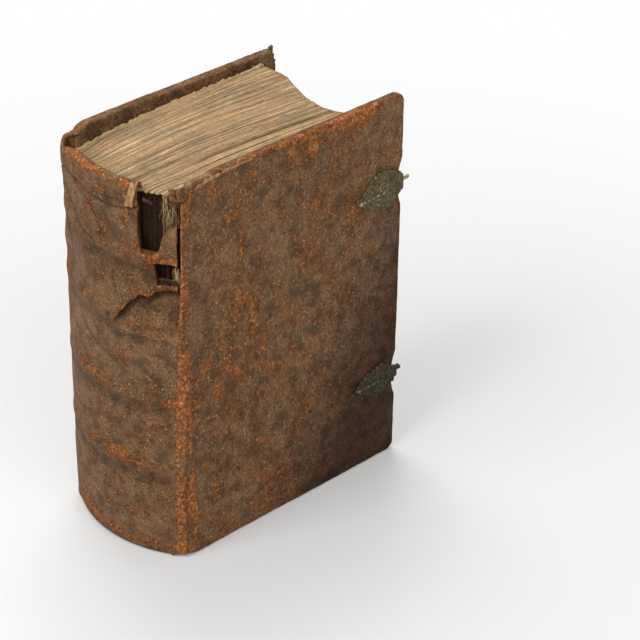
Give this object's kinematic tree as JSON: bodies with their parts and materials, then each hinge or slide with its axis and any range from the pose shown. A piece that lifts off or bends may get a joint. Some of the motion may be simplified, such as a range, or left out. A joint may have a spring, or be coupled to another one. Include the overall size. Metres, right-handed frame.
{
  "type": "antique leather book",
  "caption": "Thick old leather-bound book with wooden boards, raised bands, a torn spine head and cast clasp catches; both covers open.",
  "frame": {"origin": "middle of the whole book's box, on the plane that the tail edges stand on", "axes": "+Z from tail to head, +X out of the front cover, -Y out of the spine"},
  "size_m": [0.0858, 0.1683, 0.21],
  "materials": {
    "leather": "very dark brown calf, rubbed to rust orange at the joints, bands and edges, finely scratched, semi-matt",
    "leaves": "edges of old rag paper leaves, tan and dusty, matt",
    "oak": "bare old oak, matt",
    "pasted_paper": "stained old paper, matt",
    "hemp_cord": "twisted hemp, matt",
    "lining": "glue-stained spine lining, matt",
    "endband": "thread-wound core, matt",
    "old_brass": "cast brass, dark olive tarnish, bright on the high places"
  },
  "bodies": {
    "text_body": {"text_block": "leaves", "spine_leather": "leather", "sewing_cord_1": "hemp_cord", "sewing_cord_2": "hemp_cord", "sewing_cord_3": "hemp_cord", "sewing_cord_4": "hemp_cord", "spine_lining_1": "lining", "spine_lining_2": "lining", "spine_lining_3": "lining", "spine_lining_4": "lining", "spine_lining_5": "lining", "head_endband": "endband", "tail_endband": "endband"},
    "front_cover": {"front_board": "oak", "front_cover_leather": "leather", "front_pastedown": "pasted_paper", "front_cord_slips": "hemp_cord", "upper_catch_plate": "old_brass", "lower_catch_plate": "old_brass", "upper_catch_pin": "old_brass", "lower_catch_pin": "old_brass", "upper_plate_nails": "old_brass", "lower_plate_nails": "old_brass"},
    "rear_cover": {"rear_board": "oak", "rear_cover_leather": "leather", "rear_pastedown": "pasted_paper", "rear_cord_slips": "hemp_cord"}
  },
  "joints": [
    {"name": "front_cover_hinge", "type": "hinge", "parent": "text_body", "child": "front_cover", "pos_m": [0.0411, -0.06285, 0.105], "axis": [0, 0, -1], "range_deg": [0, 170]},
    {"name": "rear_cover_hinge", "type": "hinge", "parent": "text_body", "child": "rear_cover", "pos_m": [-0.0429, -0.06285, 0.105], "axis": [0, 0, 1], "range_deg": [0, 170]}
  ]
}
